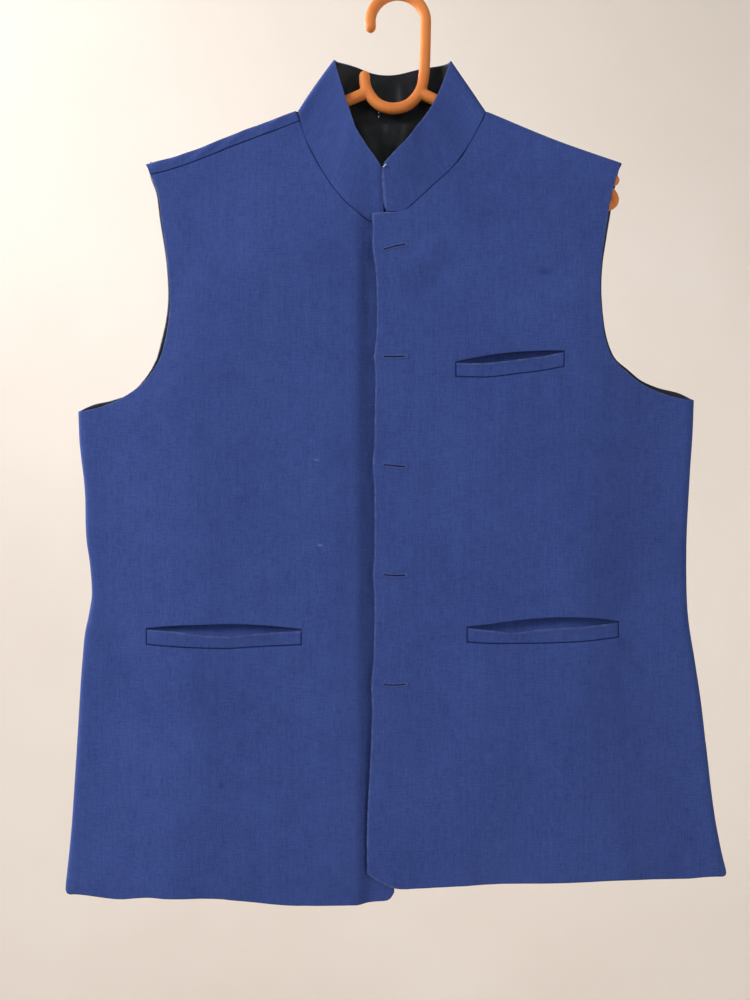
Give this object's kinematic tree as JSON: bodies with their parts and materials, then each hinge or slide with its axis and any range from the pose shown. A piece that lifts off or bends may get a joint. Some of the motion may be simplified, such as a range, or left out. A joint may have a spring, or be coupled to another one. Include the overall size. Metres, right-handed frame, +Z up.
{
  "type": "sleeveless band-collar jacket on a plastic hanger",
  "caption": "Hip-length sleeveless jacket with a band collar, buttoned front, welt pockets and black lining, hanging open at neck, armholes and hem from a plastic hanger.",
  "frame": {"origin": "inside top of the hanger's hook, where it hangs on a nail or rail", "axes": "+X across the chest towards the wearer's left (the viewer's right), +Y away from the viewer through the back, +Z up"},
  "size_m": [0.6167, 0.0537, 0.8473],
  "materials": {
    "blue_cloth": "matt slubbed plain weave",
    "black_lining": "smooth satin lining",
    "dark_button": "smooth",
    "orange_plastic": "satin moulded plastic"
  },
  "bodies": {
    "root": {"hanger": "orange_plastic", "front_left": "blue_cloth", "front_right": "blue_cloth", "back": "blue_cloth", "back_lining": "black_lining", "collar_outer": "blue_cloth", "collar_lining": "black_lining", "welt_breast": "blue_cloth", "welt_lower_left": "blue_cloth", "welt_lower_right": "blue_cloth", "pocket_facing_breast": "blue_cloth", "pocket_facing_lower_left": "blue_cloth", "pocket_facing_lower_right": "blue_cloth", "button_1": "dark_button", "button_2": "dark_button", "button_3": "dark_button", "button_4": "dark_button", "button_5": "dark_button"}
  },
  "joints": []
}
